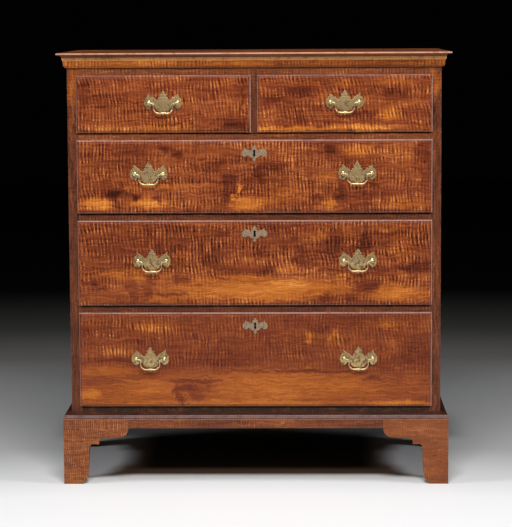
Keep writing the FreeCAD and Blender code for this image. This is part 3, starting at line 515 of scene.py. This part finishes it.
foot_weights, side_weights = (0.6, 0.5, 0.8, 0.25), (0.5, 0.7, 0.6, 0.08)
side_look = dict(along=upright, tone=0.58, figure=0.45, stripes=96.0, raw=outside_only, weights=side_weights)
case_bottom_z, case_top_z = (corner.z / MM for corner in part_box("case_side_left"))
under_lips = [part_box(drawer + "_front")[0].z / MM
              for drawer in ("drawer_4", "drawer_3", "drawer_2", "drawer_1_left")]
# A painted shadow line on the rail and divider just under the cornice.
under_cornice_shadow = (2, case_top_z - 23, 2.2, painted_shadow, 0.15)
case_looks = {
    "case_side_left": dict(seed=6.1, **side_look),
    "case_side_right": dict(seed=6.9, **side_look),
    "front_stiles": dict(
        along=upright, seed=7.4, tone=0.43, figure=0.12, weights=(0.5, 0.6, 1.2, 0.2),
        marks=((-458, 960, 9, 120, 0.05, 0.1), (460, 960, 8, 120, 0.04, 0.1), (452, 1016, 60, 50, 0.12, 0.2),
               (452, 856, 40, 60, 0.08, 0.1), (-452, 1026, 60, 60, 0.1, 0.1))),
    "case_rails": dict(
        seed=8.2, tone=0.61, figure=0.55, raw=case_front_only,
        # Painted shadow on the rails: a line under the cornice, a broad dark band on the bottom rail under
        # the lowest drawer, darker bands on the rails under the two middle drawers, and a line under each
        # drawer's lip.
        lines=(under_cornice_shadow, (2, case_bottom_z + 22, 9.5, (0.026, 0.019, 0.012), 0.9),
               *((2, z - 9, 12, (0.045, 0.016, 0.011), 0.5) for z in under_lips[1:3]),
               *((2, z - 2.2, reach, painted_shadow, 0.95) for z, reach in zip(under_lips, (3.4, 3.4, 3.4, 2.0))))),
    "top_divider": dict(
        along=upright, seed=9.5, tone=0.5, figure=0.3, raw=case_front_only, lines=(under_cornice_shadow,)),
    "top_board": dict(
        seed=10.3, tone=0.62, figure=0.5, gloss=0.26, edge_tone=pale_wear_and_sheen, edge_width=0.0014, rub=0.3,
        weights=side_weights,
        # The top's front edge: painted highlights on the nosing and along its lowest edge, with painted shade
        # lines between them; its pale edge tone is wear and partly a painted highlight.
        lines=((2, case_top_z + 13.6, 2.4, (0.62, 0.33, 0.21), 0.85),
               (2, case_top_z + 8.4, 3.0, (0.24, 0.07, 0.02), 0.45),
               (2, case_top_z + 5.4, 1.5, (0.14, 0.04, 0.01), 0.4),
               (2, case_top_z + 1.8, 3.2, (0.90, 0.44, 0.17), 0.95))),
    "cornice_molding": dict(
        # Its marks make the moulding darker to the right and lighter near its top at the left. Its lines are
        # painted light: a painted highlight along the upper cove, painted shade on the lower cove, and a
        # painted highlight on the lowest bead.
        seed=11.7, tone=0.54, figure=0.8, stops=golden_stops, edge_tone=(0.50, 0.22, 0.09),
        marks=((250, case_top_z - 8, 260, 60, -0.14, -0.3), (-270, case_top_z - 2, 60, 12, 0.16, 0.0),
               (-400, case_top_z - 8, 40, 40, 0.05, 0.0)),
        lines=((2, case_top_z - 1.6, 3.2, (0.84, 0.42, 0.14), 0.62),
               (2, case_top_z - 14.5, 4.6, (0.16, 0.045, 0.014), 0.4),
               (2, case_top_z - 20.6, 1.3, (0.50, 0.20, 0.07), 0.5))),
    "base_molding": dict(
        # Painted light on the base moulding: painted shadow along its top under the lowest drawer, a painted
        # reflection across its slope, a painted highlight on its lower edge, and a purple-grey edge tone that
        # is partly a painted highlight.
        seed=12.8, tone=0.36, figure=0.25, gloss=0.3, edge_tone=(0.34, 0.20, 0.19), rub=0.2,
        lines=((2, case_bottom_z + 15, 5.0, (0.020, 0.010, 0.008), 0.7),
               (2, case_bottom_z + 7.6, 4.4, painted_sheen, 0.42),
               (2, case_bottom_z + 0.9, 1.7, (0.40, 0.22, 0.17), 0.6))),
    "base_skirt": dict(seed=13.4, tone=0.605, figure=0.4, stripes=150.0),
    "foot_front_left": dict(seed=14.9, tone=0.74, figure=0.7, stripes=200.0, weights=foot_weights),
    "foot_front_right": dict(seed=15.6, tone=0.7, figure=0.3, stripes=190.0, weights=(0.5, 0.5, 0.5, 0.12)),
    "foot_rear_left": dict(seed=16.2, tone=0.62, figure=0.3, weights=foot_weights),
    "foot_rear_right": dict(seed=17.7, tone=0.62, figure=0.3, weights=foot_weights),
}


def dress(node, finish):
    """Gives a CAD node its finish."""
    slots = nodes[node].data.materials
    slots.clear()
    slots.append(finish)


for node, looks in case_looks.items():
    dress(node, maple(node + "_maple", **looks))
# The fronts' edges take the lip's side tone: partly wear and partly a painted highlight.
for drawer, looks in front_looks.items():
    dress(drawer + "_front", maple(
        drawer + "_figured_maple", marks=figure_marks[drawer], lines=lip_lines(drawer), stops=maple_stops,
        edge_tone=lip_side, raw=case_front_only, rub=0.8, **looks))
pine_across = bare_board("pine_across", across, seed=20.5)
pine_deep = bare_board("pine_deep", deep, seed=21.5, tone=0.55)
for drawer in front_looks:
    for part, finish in (("_sides", pine_deep), ("_back", pine_across), ("_bottom", pine_across)):
        dress(drawer + part, finish)
dress("case_bottom", bare_board("pine_floor", across, seed=22.3, tone=0.12))
dress("backboards", bare_board("pine_back", across, seed=23.8, tone=0.36))
dress("drawer_runners", bare_board("pine_runners", deep, seed=24.6, tone=0.42))

brass = metal("old_brass", (0.66, 0.52, 0.25), (0.27, 0.20, 0.09), tarnish=0.5, rough=0.26)
bail_brass = metal("handled_brass", (0.66, 0.53, 0.30), (0.33, 0.24, 0.115), tarnish=0.4, rough=0.32)
plate_brass = metal("plate_brass", (0.63, 0.445, 0.21), (0.17, 0.11, 0.052), tarnish=0.72, rough=0.36)
keyhole_brass = metal("keyhole_brass", (0.50, 0.365, 0.24), (0.25, 0.176, 0.115), tarnish=0.8, rough=0.4)
iron = metal("black_iron", (0.20, 0.18, 0.16), (0.045, 0.035, 0.03), tarnish=0.8, rough=0.42)
for node in nodes:
    if node.endswith("_pull_posts"):
        dress(node, brass)
    elif node.endswith(("_lock", "_lock_bolt")):
        dress(node, iron)


# ---- Brasses

def finished(name, mesh, finish, body, slot, *stands_for):
    """A new piece from its mesh: its finish, its body, and the nodes it stands for. Its slot is not used."""
    piece = bpy.data.objects.new(name, mesh)
    scene.collection.objects.link(piece)
    for one in finish if isinstance(finish, tuple) else (finish,):
        mesh.materials.append(one)
    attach(piece, body)
    if stands_for:
        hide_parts(*stands_for)


def arc(start, middle, end, count):
    """Points after start on the arc through three points."""
    (ax, ay), (bx, by), (cx, cy) = start, middle, end
    twice = 2 * (ax * (by - cy) + bx * (cy - ay) + cx * (ay - by))
    a2, b2, c2 = ax * ax + ay * ay, bx * bx + by * by, cx * cx + cy * cy
    hub_x = (a2 * (by - cy) + b2 * (cy - ay) + c2 * (ay - by)) / twice
    hub_y = (a2 * (cx - bx) + b2 * (ax - cx) + c2 * (bx - ax)) / twice
    radius = math.hypot(ax - hub_x, ay - hub_y)
    first = math.atan2(ay - hub_y, ax - hub_x)
    half_way = (math.atan2(by - hub_y, bx - hub_x) - first) % math.tau
    sweep = (math.atan2(cy - hub_y, cx - hub_x) - first) % math.tau
    if half_way > sweep:
        sweep -= math.tau
    turns = [first + sweep * k / count for k in range(1, count + 1)]
    return [(hub_x + radius * math.cos(turn), hub_y + radius * math.sin(turn)) for turn in turns]


def full_outline(half, size):
    """The closed outline of a shaped plate from its right half in shares of a size.

    Each step is a corner, or the middle and the end of an arc.
    """
    right = [half[0][-1]]
    for step in half[1:]:
        right += arc(right[-1], *step, 6) if len(step) == 2 else [step[-1]]
    left = [(-x, z) for x, z in right[-2:0:-1]]
    return [(x * size, z * size) for x, z in right + left]


def metal_side(ring, reach):
    """A ring moved by a distance to its left, where the metal is."""
    moved = []
    for k, point in enumerate(ring):
        before = (point - ring[k - 1]).normalized()
        after = (ring[(k + 1) % len(ring)] - point).normalized()
        left = Vector((-before.y - after.y, before.x + after.x))
        moved.append(point + left * reach / max(1 + before.dot(after), 0.6))
    return moved


def cut_plate(outline, holes, thickness, bevel):
    """A plate cut to its outline, its front edge filed round: a mesh that faces up Z from its middle."""
    rings = []
    for ring in (outline, *holes):
        ring = [Vector(point) for point in ring]
        area = sum(a.x * b.y - b.x * a.y for a, b in zip(ring, ring[1:] + ring[:1]))
        rings.append(ring if (area > 0) == (ring[0] == Vector(outline[0])) else ring[::-1])
    shape = bmesh.new()
    layers = []
    top = thickness / 2
    for inwards, rise in ((0, -top), (0, top - bevel), (bevel * 0.13, top - bevel / 2),
                          (bevel * 0.5, top - bevel * 0.13), (bevel, top)):
        flat = [metal_side(ring, inwards) for ring in rings]
        layers.append((flat, [[shape.verts.new((p.x, p.y, rise)) for p in ring] for ring in flat]))
    for (_, lower), (_, upper) in zip(layers, layers[1:]):
        for low, high in zip(lower, upper):
            for k in range(len(low)):
                ahead = (k + 1) % len(low)
                shape.faces.new((low[k], low[ahead], high[ahead], high[k]))
    for flat, made in (layers[0], layers[-1]):
        row = [vert for ring in made for vert in ring]
        for triangle in tessellate_polygon([[(p.x, p.y, 0) for p in ring] for ring in flat]):
            shape.faces.new([row[index] for index in triangle])
    bmesh.ops.recalc_face_normals(shape, faces=shape.faces)
    mesh = bpy.data.meshes.new("plate")
    shape.to_mesh(mesh)
    shape.free()
    return mesh


def joined_mesh(name, parts):
    """One mesh from several, each placed by a matrix and given a material's place."""
    whole = bmesh.new()
    for mesh, place, material in parts:
        before = len(whole.faces)
        copy = mesh.copy()
        copy.transform(place)
        whole.from_mesh(copy)
        whole.faces.ensure_lookup_table()
        for face in whole.faces[before:]:
            face.material_index = material
            face.smooth = True
        bpy.data.meshes.remove(copy)
    made = bpy.data.meshes.new(name)
    whole.to_mesh(made)
    whole.free()
    made.set_sharp_from_angle(angle=math.radians(40))
    return made


def turned(profile, count=20):
    """A closed turned mesh about Z from radius and height pairs, its ends on the axis."""
    shape = bmesh.new()
    turns = [math.tau * k / count for k in range(count)]
    rings = []
    for radius, height in profile:
        if radius == 0:
            rings.append([shape.verts.new((0, 0, height))])
        else:
            rings.append([shape.verts.new((radius * math.cos(turn), radius * math.sin(turn), height))
                          for turn in turns])
    for low, high in zip(rings, rings[1:]):
        for k in range(count):
            after = (k + 1) % count
            ring = [low[k % len(low)], low[after % len(low)], high[after % len(high)], high[k % len(high)]]
            corners = list(dict.fromkeys(ring))
            if len(corners) > 2:
                shape.faces.new(corners)
    bmesh.ops.recalc_face_normals(shape, faces=shape.faces)
    made = bpy.data.meshes.new("turned")
    shape.to_mesh(made)
    shape.free()
    return made


plate_half = (
    ((0.0, 0.657),), ((0.073, 0.576), (0.12, 0.475)), ((0.165, 0.438), (0.231, 0.43)),
    ((0.18, 0.39), (0.17, 0.33)), ((0.25, 0.28), (0.288, 0.19)), ((0.327, 0.147),),
    ((0.4, 0.196), (0.5, 0.324)), ((0.55, 0.305), (0.57, 0.265)), ((0.59, 0.34), (0.647, 0.382)),
    ((0.74, 0.45), (0.853, 0.53)), ((0.81, 0.43), (0.824, 0.333)), ((0.998, 0.03), (0.843, -0.284)),
    ((0.716, -0.31), (0.608, -0.186)), ((0.51, -0.17), (0.412, -0.245)),
    ((0.314, -0.382), (0.157, -0.447)), ((0.069, -0.486),), ((0.082, -0.533), (0.137, -0.56)),
    ((0.055, -0.612), (0.0, -0.686)),
)
keyhole_half = (
    ((0.0, 0.47),), ((0.075, 0.39), (0.13, 0.29)), ((0.175, 0.255), (0.24, 0.25)),
    ((0.185, 0.2), (0.18, 0.13)), ((0.26, 0.08), (0.29, 0.0)), ((0.33, -0.02),),
    ((0.37, 0.04), (0.43, 0.1)), ((0.6, 0.14), (0.79, 0.31)), ((0.79, 0.17), (0.85, 0.06)),
    ((0.998, -0.25), (0.8, -0.44)), ((0.66, -0.43), (0.57, -0.35)), ((0.45, -0.36), (0.37, -0.43)),
    ((0.27, -0.52), (0.15, -0.56)), ((0.065, -0.6),), ((0.1, -0.66), (0.18, -0.69)),
    ((0.075, -0.76), (0.0, -0.88)),
)
drawer_face = -0.2305
plate_thickness, keyhole_thickness = 0.0016, 0.0012
key_radius, key_foot = 0.003, -0.014
keyhole_nail_x, keyhole_nail_z = 0.0239, -0.0075
plate_mesh = cut_plate(full_outline(plate_half, 0.048), [], plate_thickness, 0.0005)
key_turns = [math.radians(degrees) for degrees in range(-45, 226, 15)]
keyhole_ring = [(key_radius * math.cos(turn), key_radius * math.sin(turn)) for turn in key_turns]
keyhole_ring += [(-key_radius, key_foot), (key_radius, key_foot)]
keyhole_mesh = cut_plate(full_outline(keyhole_half, 0.032), [keyhole_ring], keyhole_thickness, 0.0004)
nail_mesh = turned([(0, 0), (0.0021, 0), (0.0021, 0.00025), (0.0018, 0.0007), (0.0011, 0.00105), (0, 0.0012)])


def facing_front(x, y, z):
    """Turns a mesh that faces up to face the front, with its middle at a point."""
    return Matrix.Translation((x, y, z)) @ Matrix.Rotation(math.radians(90), 4, "X")


def bail_mesh(x, y, z):
    """A hanging bail: pins in the posts, a knuckle at each shoulder, and a grip that swells to its middle.

    Its half is told by x, z and radius in millimetres from the middle of its pins.
    """
    half = ((36.0, 0.0, 1.85), (31.5, 0.0, 1.85), (29.2, -0.1, 1.7), (26.8, -0.9, 1.75), (24.8, -2.5, 2.0),
            (23.9, -4.9, 1.8), (24.1, -8.2, 1.5), (24.4, -11.8, 1.45), (23.9, -15.4, 1.5),
            (22.2, -18.9, 1.55), (19.2, -22.2, 1.65), (15.2, -24.5, 1.8), (10.4, -25.4, 2.0),
            (5.0, -25.2, 2.3), (0.0, -24.9, 2.4))
    row = [Vector(p) * MM for p in half]
    row += [Vector((-p.x, p.y, p.z)) for p in row[-2::-1]]
    points = []
    for k in range(len(row) - 1):
        a, b, c, d = row[max(k - 1, 0)], row[k], row[k + 1], row[min(k + 2, len(row) - 1)]
        for t in (0.0, 0.25, 0.5, 0.75):
            points.append(0.5 * (2 * b + (c - a) * t + (2 * a - 5 * b + 4 * c - d) * t * t
                                 + (3 * b - a - 3 * c + d) * t * t * t))
    points.append(row[-1])
    shape = bmesh.new()
    rings = []
    sides = 16
    turns = [math.tau * s / sides for s in range(sides)]
    for k, point in enumerate(points):
        ahead = points[min(k + 1, len(points) - 1)] - points[max(k - 1, 0)]
        out = Vector((ahead.y, 0, -ahead.x)).normalized()
        middle, radius = Vector((x + point.x, y, z + point.y)), point.z
        rings.append([shape.verts.new(
            middle + out * radius * math.cos(turn) + Vector((0, radius * math.sin(turn), 0)))
            for turn in turns])
    for low, high in zip(rings, rings[1:]):
        for s in range(sides):
            shape.faces.new((low[s], low[(s + 1) % sides], high[(s + 1) % sides], high[s]))
    shape.faces.new(rings[0])
    shape.faces.new(rings[-1])
    bmesh.ops.recalc_face_normals(shape, faces=shape.faces)
    for face in shape.faces:
        face.smooth = len(face.verts) == 4
    made = bpy.data.meshes.new("bail")
    shape.to_mesh(made)
    shape.free()
    return made


swings = {joint["child"]: joint for joint in frame["joints"] if joint["type"] == "hinge"}
keyholes = {item["name"].removesuffix("_keyhole"): item["box_m"] for item in record["physics"]["openings"]
            if item["name"].endswith("_keyhole")}
for drawer in front_looks:
    parts = []
    for bail, joint in swings.items():
        if joint["parent"] != drawer:
            continue
        x, y, z = joint["pos_m"]
        parts.append((plate_mesh, facing_front(x, drawer_face - plate_thickness / 2, z), 0))
        finished(bail + "_handle", bail_mesh(x, y, z), bail_brass, bail, "brass", bail)
    if drawer in keyholes:
        z = keyholes[drawer][1][2] - 0.0015
        parts.append((keyhole_mesh, facing_front(0, drawer_face - keyhole_thickness / 2, z), 1))
        for side in (-1, 1):
            place = facing_front(side * keyhole_nail_x, drawer_face - keyhole_thickness, z + keyhole_nail_z)
            parts.append((nail_mesh, place, 1))
    finished(drawer + "_plates", joined_mesh(drawer + "_plates", parts), (plate_brass, keyhole_brass), drawer,
             "brass", drawer + "_brass_plates")


# ---- Hand-made nails, in rows

def nail_row_tree():
    """A row of rose-headed nails from a first point, a step, a count and a facing."""
    tree = bpy.data.node_groups.new("nail_row", "GeometryNodeTree")
    sockets = (("Start", "Vector"), ("Step", "Vector"), ("Count", "Int"), ("Facing", "Vector"),
               ("Radius", "Float"), ("Seed", "Int"), ("Finish", "Material"))
    keys = {}
    for title, kind in sockets:
        socket = tree.interface.new_socket(title, in_out="INPUT", socket_type="NodeSocket" + kind)
        keys[title] = socket.identifier
    tree.interface.new_socket("Geometry", in_out="OUTPUT", socket_type="NodeSocketGeometry")
    given = tree.nodes.new("NodeGroupInput").outputs
    row = put(tree, "GeometryNodeMeshLine", {
        "Count": given["Count"], "Start Location": given["Start"], "Offset": given["Step"]}, mode="OFFSET")
    third = calc(tree, "MULTIPLY", given["Radius"], 0.3)
    head = put(tree, "GeometryNodeMeshCone", {
        "Vertices": 7, "Side Segments": 2, "Radius Top": third, "Radius Bottom": given["Radius"],
        "Depth": third})
    seed = given["Seed"]
    size = put(tree, "FunctionNodeRandomValue", {2: 0.8, 3: 1.15, "Seed": seed}, data_type="FLOAT")
    spin = put(tree, "FunctionNodeRandomValue", {2: 0.0, 3: math.tau, "Seed": seed}, data_type="FLOAT")
    heads = put(tree, "GeometryNodeInstanceOnPoints", {
        "Points": row.outputs["Mesh"], "Instance": head.outputs["Mesh"], "Rotation": given["Facing"],
        "Scale": size.outputs[1]})
    turn = put(tree, "ShaderNodeCombineXYZ", {2: spin.outputs[1]})
    spun = put(tree, "GeometryNodeRotateInstances", {
        "Instances": heads.outputs[0], "Rotation": turn.outputs[0], "Local Space": True})
    real = put(tree, "GeometryNodeRealizeInstances", {"Geometry": spun.outputs[0]})
    painted = put(tree, "GeometryNodeSetMaterial", {"Geometry": real.outputs[0], "Material": given["Finish"]})
    put(tree, "NodeGroupOutput", {0: painted.outputs[0]})
    return tree, keys


nail_row, nail_keys = nail_row_tree()


def nail_rows(name, body, rows, facing, radius, seed):
    """Rows of nails as one plain mesh that rides on a body. Each row has a start, a step and a count."""
    whole = bmesh.new()
    for index, (start, step, count) in enumerate(rows):
        holder = bpy.data.objects.new(name + "_row", bpy.data.meshes.new(name + "_row"))
        scene.collection.objects.link(holder)
        maker = holder.modifiers.new("nails", "NODES")
        maker.node_group = nail_row
        values = {"Start": start, "Step": step, "Count": count, "Facing": facing, "Radius": radius,
                  "Seed": seed + index, "Finish": iron}
        for title, value in values.items():
            maker[nail_keys[title]] = value
        grown = holder.evaluated_get(bpy.context.evaluated_depsgraph_get())
        mesh = bpy.data.meshes.new_from_object(grown)
        whole.from_mesh(mesh)
        bpy.data.objects.remove(holder)
        bpy.data.meshes.remove(mesh)
    made = bpy.data.meshes.new(name)
    whole.to_mesh(made)
    whole.free()
    finished(name, made, iron, body, "iron")


low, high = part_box("backboards")
board_count = 4
board_height = (high.z - low.z) / board_count
from_side, from_low_edge, from_both_edges = 0.012, 0.03, 0.07
rows = []
for side in (-1, 1):
    for board in range(board_count):
        first = low.z + board * board_height + from_low_edge
        rows.append(((side * (high.x - from_side), high.y, first), (0, 0, board_height - from_both_edges), 2))
to_back, to_floor = (math.radians(-90), 0, 0), (math.pi, 0, 0)
nail_rows("backboard_nails", "case", rows, to_back, radius=0.004, seed=5)
from_end, from_rear, below = 0.06, 0.006, 0.0002
for number, drawer in enumerate(front_looks):
    low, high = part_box(drawer + "_bottom")
    width = high.x - low.x
    count = 3 if width < 0.6 else 5
    step = (width - 2 * from_end) / (count - 1)
    row = ((low.x + from_end, high.y - from_rear, low.z - below), (step, 0, 0), count)
    nail_rows(drawer + "_bottom_nails", drawer, [row], to_floor, radius=0.003, seed=20 + number)


# ---- Floor, light and camera

def pale_floor():
    """A pale floor with a painted pool of light that falls away towards the dark, and a painted shadow under
    and just behind the chest.
    """
    finish, tree = new_finish("pale_floor")
    here = object_place(tree)
    # The ramp paints the lamps' falloff into the floor's colour, brightest in front of the chest.
    brightest, squash, ramp_per_metre = (0.0, -1.6, 0.0), (0.55, 1.0, 0.0), 0.2
    away = vector_calc(tree, "MULTIPLY", vector_calc(tree, "SUBTRACT", here, brightest), squash)
    colour = ramp(tree, calc(tree, "MULTIPLY", length_of(tree, away), ramp_per_metre), (
        (0.25, (0.862, 0.868, 0.873)), (0.30, (0.71, 0.725, 0.735)), (0.36, (0.45, 0.455, 0.46)),
        (0.47, (0.40, 0.405, 0.40)), (0.59, (0.26, 0.26, 0.255)), (0.65, (0.156, 0.152, 0.145)),
        (0.78, (0.058, 0.057, 0.053)), (0.93, (0.016, 0.016, 0.015)), (1.0, (0.0006, 0.0006, 0.0006))))
    x, y, _ = parted(tree, here)
    # Two soft boxes of painted shadow: a strong one under the chest, and a wider, weaker one just behind it.
    for half_width, front, rear, shade in (((0.38, 0.27), (-0.1, -0.04), (0.46, 0.3), 0.94),
                                           ((0.62, 0.46), (0.27, 0.37), (0.75, 0.5), 0.72)):
        inside = between(tree, calc(tree, "ABSOLUTE", x), *half_width)
        under = calc(tree, "MULTIPLY", inside, between(tree, y, *front))
        under = calc(tree, "MULTIPLY", under, between(tree, y, *rear, 0.0, shade))
        colour = mixed(tree, under, colour, (0.004, 0.004, 0.004, 1.0))
    surface(tree, {"Base Color": colour, "Roughness": 0.7, "Specular IOR Level": 0.1})
    mesh = bpy.data.meshes.new("floor")
    reach, level = 9, -0.0004
    corners = [(side * reach, end * reach, level) for side, end in ((-1, -1), (1, -1), (1, 1), (-1, 1))]
    mesh.from_pydata(corners, [], [(0, 1, 2, 3)])
    mesh.materials.append(finish)
    floor = bpy.data.objects.new("floor", mesh)
    scene.collection.objects.link(floor)


def softbox(name, place, aim, size, power, colour=(1, 1, 1), fan=180.0, mirrored=True):
    """A large soft lamp at a place, turned to a point. Its light fans out by an angle in degrees.

    A lamp that isn't mirrored gives light but makes no highlight.
    """
    light = bpy.data.lights.new(name, "AREA")
    light.shape = "RECTANGLE"
    light.size, light.size_y = size
    light.energy = power
    light.color = colour
    light.spread = math.radians(fan)
    lamp = bpy.data.objects.new(name, light)
    lamp.location = place
    lamp.visible_glossy = mirrored
    lamp.rotation_euler = (Vector(aim) - Vector(place)).to_track_quat("-Z", "Y").to_euler()
    scene.collection.objects.link(lamp)


def studio_air():
    """Even soft light from all round, behind which camera and mirror see the dark of the studio."""
    world = bpy.data.worlds.new("studio")
    scene.world = world
    world.use_nodes = True
    tree = world.node_tree
    tree.nodes.clear()
    path = put(tree, "ShaderNodeLightPath").outputs
    seen = calc(tree, "MAXIMUM", path["Is Camera Ray"], path["Is Glossy Ray"])
    seen = calc(tree, "MAXIMUM", seen, path["Is Transmission Ray"])
    colour = mixed(tree, seen, (0.016, 0.016, 0.0165, 1.0), (0.0005, 0.0005, 0.0005, 1.0))
    air = put(tree, "ShaderNodeBackground", {"Color": colour, "Strength": 1.0})
    put(tree, "ShaderNodeOutputWorld", {"Surface": air.outputs[0]})


pale_floor()
studio_air()
softbox("key", (0.1, -2.6, 3.5), (0.0, -0.1, 0.5), (1.6, 0.7), 138.0, (1.0, 0.985, 0.96))
for name, x in (("left", -2.8), ("right", 2.8)):
    softbox(name, (x, -1.0, 2.5), (0.0, -0.1, 0.4), (0.8, 0.8), 46.0, (0.92, 0.95, 1.0))
softbox("back", (0.3, 2.6, 0.8), (0.0, 0.25, 0.78), (0.9, 0.7), 1.3, fan=16.0, mirrored=False)

# The camera's place, turns and lens are solved from the chest's corners in a picture of 512 by 527.
view = bpy.data.cameras.new("camera")
view.sensor_width = 36.0
view.lens = 133.87
view.shift_y = -0.08
camera = bpy.data.objects.new("camera", view)
camera.location = (0.1053, -5.1475, 1.18)
pitch, yaw, roll = math.radians(90 - 5.8993), math.radians(1.1845), math.radians(-0.3090)
camera.rotation_euler = (Matrix.Rotation(yaw, 3, "Z") @ Matrix.Rotation(pitch, 3, "X")
                         @ Matrix.Rotation(roll, 3, "Z")).to_euler()
scene.collection.objects.link(camera)
scene.camera = camera
scene.view_settings.view_transform = "Standard"
